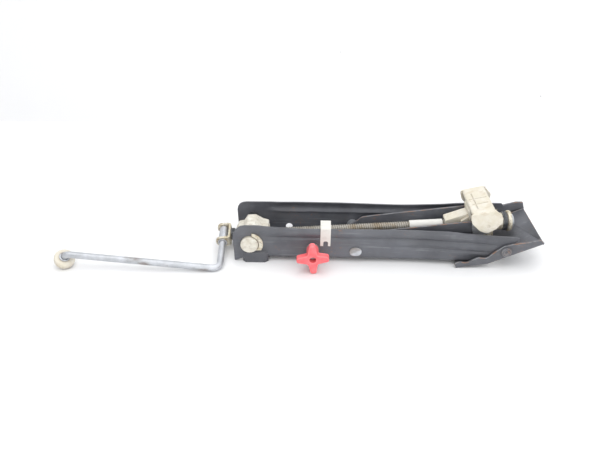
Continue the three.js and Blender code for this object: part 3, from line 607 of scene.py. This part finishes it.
class JACK_OT_fasteners(JackOperator, bpy.types.Operator):
    """Build pins, spacers, rivets, retainers and the clip on the leg"""

    bl_idname = "jack.fasteners"
    bl_label = "Pins, rivets and clip"

    def execute(self, context):
        edge = sizes().machined_edge
        for node, finish in (
            ("trunnion_retainer_front", "zinc_yellow"), ("trunnion_retainer_back", "zinc_yellow"),
            ("main_pivot_pin", "galvanised"), ("pivot_spacer_front", "galvanised"),
            ("pivot_spacer_back", "galvanised"), ("foot_rivet_front", "black_paint"),
            ("foot_rivet_back", "black_paint"), ("knob_stud", "galvanised"),
        ):
            plain_piece(node, "leg", finish, edge)
        plain_piece("knob_washer", "knob", "galvanised", edge)
        plain_piece("storage_clip", "leg", "white_label", 0.4)
        return {"FINISHED"}


class JACK_OT_knob(JackOperator, bpy.types.Operator):
    """Build the four-lobed knob"""

    bl_idname = "jack.knob"
    bl_label = "Star knob"

    def execute(self, context):
        bm = cad_copy("star_knob")
        soften(bm, 1.3, 4, 40)
        settle(bm, "star_knob_shown", "knob", "red_plastic", ["star_knob"])
        return {"FINISHED"}


class JACK_OT_nut(JackOperator, bpy.types.Operator):
    """Build the cast nut and its back pin"""

    bl_idname = "jack.nut"
    bl_label = "Trunnion nut"

    def execute(self, context):
        bm = cad_copy("trunnion_nut")
        soften(bm, 0.9, 3, 26)
        settle(bm, "trunnion_nut_shown", "nut", "cast_nut", ["trunnion_nut"])
        plain_piece("trunnion_back_pin", "nut", "dark_steel", sizes().machined_edge)
        return {"FINISHED"}


class JACK_OT_arm(JackOperator, bpy.types.Operator):
    """Build the pressed arm"""

    bl_idname = "jack.arm"
    bl_label = "Arm channel"

    def execute(self, context):
        plain_piece("arm_channel", "arm", "black_paint", sizes().sheet_edge, 2, 30)
        return {"FINISHED"}


class JACK_OT_head(JackOperator, bpy.types.Operator):
    """Build the bracket, the plastic saddle and the end trunnion"""

    bl_idname = "jack.head"
    bl_label = "Head"

    def execute(self, context):
        plain_piece("head_bracket", "head", "galvanised", sizes().sheet_edge)
        plain_piece("end_trunnion", "end_block", "zinc_yellow", sizes().machined_edge)
        bm = cad_copy("head_saddle")
        soften(bm, 0.55, 2, 30)
        settle(bm, "head_saddle_shown", "head", "cream_plastic", ["head_saddle"])
        return {"FINISHED"}


class JACK_OT_spindle(JackOperator, bpy.types.Operator):
    """Build the threaded spindle with its thrust stack, collar and label"""

    bl_idname = "jack.spindle"
    bl_label = "Spindle"

    def execute(self, context):
        edge = sizes().machined_edge
        for node, finish in (
            ("thrust_cone", "zinc_yellow"), ("thrust_bearing", "dark_steel"),
            ("thrust_ring", "zinc_yellow"), ("spindle_end_nut", "galvanised"),
            ("stop_collar", "dark_steel"),
        ):
            plain_piece(node, "spindle", finish, edge)
        plain_piece("spindle_label", "spindle", "white_label", 0.25)
        self.screw()
        return {"FINISHED"}

    def screw(self):
        """A helix of flanks for the thread, closed by plain ends."""
        pitch = sizes().thread_pitch
        depth = sizes().thread_depth
        crest = SCREW_RADIUS
        steps = 20
        ends = [v.co for v in frame["nodes"]["spindle_screw"].data.vertices]
        along = [(p - SCREW_POINT).dot(SCREW_AXIS) / MM for p in ends]
        start, end = min(along) + 6.5, max(along) - 4.0
        turns = int((end - start) / pitch) - 1
        bm = bmesh.new()
        place = turn_to(SCREW_AXIS, SCREW_POINT)
        profile = [(crest - depth, 0), (crest - 0.1, 0.34 * pitch), (crest, 0.42 * pitch),
                   (crest, 0.58 * pitch), (crest - 0.1, 0.66 * pitch), (crest - depth, pitch)]
        verts = [bm.verts.new(place @ Vector((r * MM, 0, (start + h) * MM))) for r, h in profile]
        edges = [bm.edges.new(pair) for pair in zip(verts, verts[1:])]
        bmesh.ops.spin(
            bm, geom=verts + edges, cent=SCREW_POINT, axis=SCREW_AXIS,
            dvec=SCREW_AXIS * (pitch / steps * MM), angle=2 * math.pi * turns,
            steps=steps * turns)
        bmesh.ops.remove_doubles(bm, verts=bm.verts, dist=0.02 * MM)
        bmesh.ops.recalc_face_normals(bm, faces=bm.faces)
        self.merge_shaft(bm, min(along), start, start + pitch * (turns + 1), max(along), crest, depth)
        settle(bm, "spindle_screw_shown", "spindle", "thread_steel", ["spindle_screw"], 50, False)

    def merge_shaft(self, bm, low, start, stop, high, crest, depth):
        """Plain shaft under the thread with its turned ends."""
        root = crest - depth - 0.02
        profile = [
            (0, low), (3.2, low), (3.8, low + 0.6), (3.8, low + 4), (crest - 0.3, low + 4),
            (crest, low + 4.4), (crest, start - 1), (root, start + 0.6), (root, stop - 0.8),
            (crest, stop + 0.6), (crest, high - 1.2), (crest - 1.2, high), (0, high)]
        shaft = lathe(profile, SCREW_POINT, SCREW_AXIS, 24)
        mesh = bpy.data.meshes.new("shaft")
        shaft.to_mesh(mesh)
        shaft.free()
        bm.from_mesh(mesh)
        bpy.data.meshes.remove(mesh)


class JACK_OT_crank(JackOperator, bpy.types.Operator):
    """Build the yoke, the bent rod and its grip"""

    bl_idname = "jack.crank"
    bl_label = "Crank"

    def execute(self, context):
        edge = sizes().machined_edge
        plain_piece("crank_yoke", "spindle", "zinc_yellow", 0.6)
        plain_piece("crank_pin_sleeve", "spindle", "galvanised", edge)
        plain_piece("crank_rod", "crank", "galvanised", 0.7, 3, 50)
        plain_piece("crank_pin_washer", "crank", "zinc_yellow", edge)
        plain_piece("crank_stop_ring", "crank", "galvanised", edge)
        plain_piece("grip_cup", "crank", "galvanised", 0.3)
        plain_piece("grip_roller", "grip", "cream_plastic", edge)
        return {"FINISHED"}


class JACK_OT_foot(JackOperator, bpy.types.Operator):
    """Build the pressed foot"""

    bl_idname = "jack.foot"
    bl_label = "Foot plate"

    def execute(self, context):
        plain_piece("foot_plate", "foot", "black_paint", 0.8, 3, 30, weighted=False)
        return {"FINISHED"}


# ------------------------------------------------------------------ stage
CAMERA_PLACE = LEG_ZERO + Vector((66.3, -748.5, 479.7)) * MM
CAMERA_PITCH = math.radians(31.06)
CAMERA_ROLL = math.radians(0.947)
CAMERA_FOCAL = 640.3 / 600 * 36
WALL_DISTANCE = 0.44


class JACK_OT_stage(JackOperator, bpy.types.Operator):
    """Build the floor, the wall, the lights and the camera"""

    bl_idname = "jack.stage"
    bl_label = "Stage"

    def execute(self, context):
        self.room()
        self.lights(context.scene)
        self.camera(context.scene)
        return {"FINISHED"}

    def room(self):
        """A floor that turns up into a wall with a tight round."""
        bm = bmesh.new()
        bmesh.ops.create_grid(bm, x_segments=1, y_segments=1, size=3.0)
        bmesh.ops.translate(bm, verts=bm.verts, vec=(0, WALL_DISTANCE - 3.0, 0))
        back = [e for e in bm.edges if all(v.co.y > WALL_DISTANCE - 0.01 for v in e.verts)]
        grown = bmesh.ops.extrude_edge_only(bm, edges=back)["geom"]
        bmesh.ops.translate(
            bm, verts=[g for g in grown if isinstance(g, bmesh.types.BMVert)], vec=(0, 0, 3.0))
        bmesh.ops.bevel(
            bm, geom=back, offset=0.004, offset_type="OFFSET", segments=4, profile=0.5,
            affect="EDGES", material=-1, clamp_overlap=False)
        bmesh.ops.recalc_face_normals(bm, faces=bm.faces)
        if max(bm.faces, key=lambda face: face.calc_area()).normal.z < 0:
            bmesh.ops.reverse_faces(bm, faces=bm.faces)
        mesh = bpy.data.meshes.new("studio")
        bm.to_mesh(mesh)
        bm.free()
        room = bpy.data.objects.new("studio", mesh)
        bpy.context.scene.collection.objects.link(room)
        mesh.materials.append(finish_named("studio_floor"))

    def lights(self, scene):
        world = bpy.data.worlds.new("studio_light")
        world.use_nodes = True
        background = world.node_tree.nodes["Background"]
        background.inputs["Color"].default_value = (0.97, 0.985, 1.0, 1)
        background.inputs["Strength"].default_value = 0.57
        scene.world = world
        scene.view_settings.view_transform = "Standard"
        self.softbox("key", (-0.5, -0.7, 1.7), (0, 0, 0), 1.3, 11)
        self.softbox("fill", (1.1, -0.5, 1.2), (0, 0, 0), 1.1, 7)
        self.softbox("front", (0.1, -1.5, 0.55), (0, 0.05, 0.03), 1.2, 8)
        self.softbox("rim", (0.2, 0.30, 1.6), (0, 0, 0), 1.0, 7)

    def softbox(self, name, place, target, size, power):
        data = bpy.data.lights.new(name, "AREA")
        data.shape = "SQUARE"
        data.size = size
        data.energy = power
        lamp = bpy.data.objects.new(name, data)
        lamp.location = place
        lamp.rotation_mode = "QUATERNION"
        lamp.rotation_quaternion = (Vector(target) - Vector(place)).to_track_quat("-Z", "Y")
        bpy.context.scene.collection.objects.link(lamp)

    def camera(self, scene):
        data = bpy.data.cameras.new("camera")
        data.lens = CAMERA_FOCAL
        data.sensor_width = 36
        data.clip_end = 20
        camera = bpy.data.objects.new("camera", data)
        look = Matrix.Rotation(math.pi / 2 - CAMERA_PITCH, 4, "X")
        roll = Matrix.Rotation(CAMERA_ROLL, 4, "Z")
        camera.matrix_world = Matrix.Translation(CAMERA_PLACE) @ look @ roll
        scene.collection.objects.link(camera)
        scene.camera = camera


BUILDERS = (
    JACK_OT_leg, JACK_OT_fasteners, JACK_OT_knob, JACK_OT_nut, JACK_OT_arm, JACK_OT_head,
    JACK_OT_spindle, JACK_OT_crank, JACK_OT_foot, JACK_OT_stage,
)


class JACK_PT_builders(bpy.types.Panel):
    """Lists the builders and their settings"""

    bl_label = "Scissor Jack"
    bl_idname = "JACK_PT_builders"
    bl_space_type = "VIEW_3D"
    bl_region_type = "UI"
    bl_category = "Scissor Jack"

    def draw(self, context):
        for group in (context.scene.jack_sizes, context.scene.jack_colours):
            for name in group.__annotations__:
                self.layout.prop(group, name)
        for builder in BUILDERS:
            self.layout.operator(builder.bl_idname)


CLASSES = (JackSizes, JackColours, *BUILDERS, JACK_PT_builders)


def register():
    for cls in CLASSES:
        bpy.utils.register_class(cls)
    bpy.types.Scene.jack_sizes = bpy.props.PointerProperty(type=JackSizes)
    bpy.types.Scene.jack_colours = bpy.props.PointerProperty(type=JackColours)


def unregister():
    del bpy.types.Scene.jack_colours
    del bpy.types.Scene.jack_sizes
    for cls in reversed(CLASSES):
        bpy.utils.unregister_class(cls)


def main():
    register()
    for builder in BUILDERS:
        group, name = builder.bl_idname.split(".")
        getattr(getattr(bpy.ops, group), name)()
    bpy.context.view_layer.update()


if __name__ == "__main__":
    main()
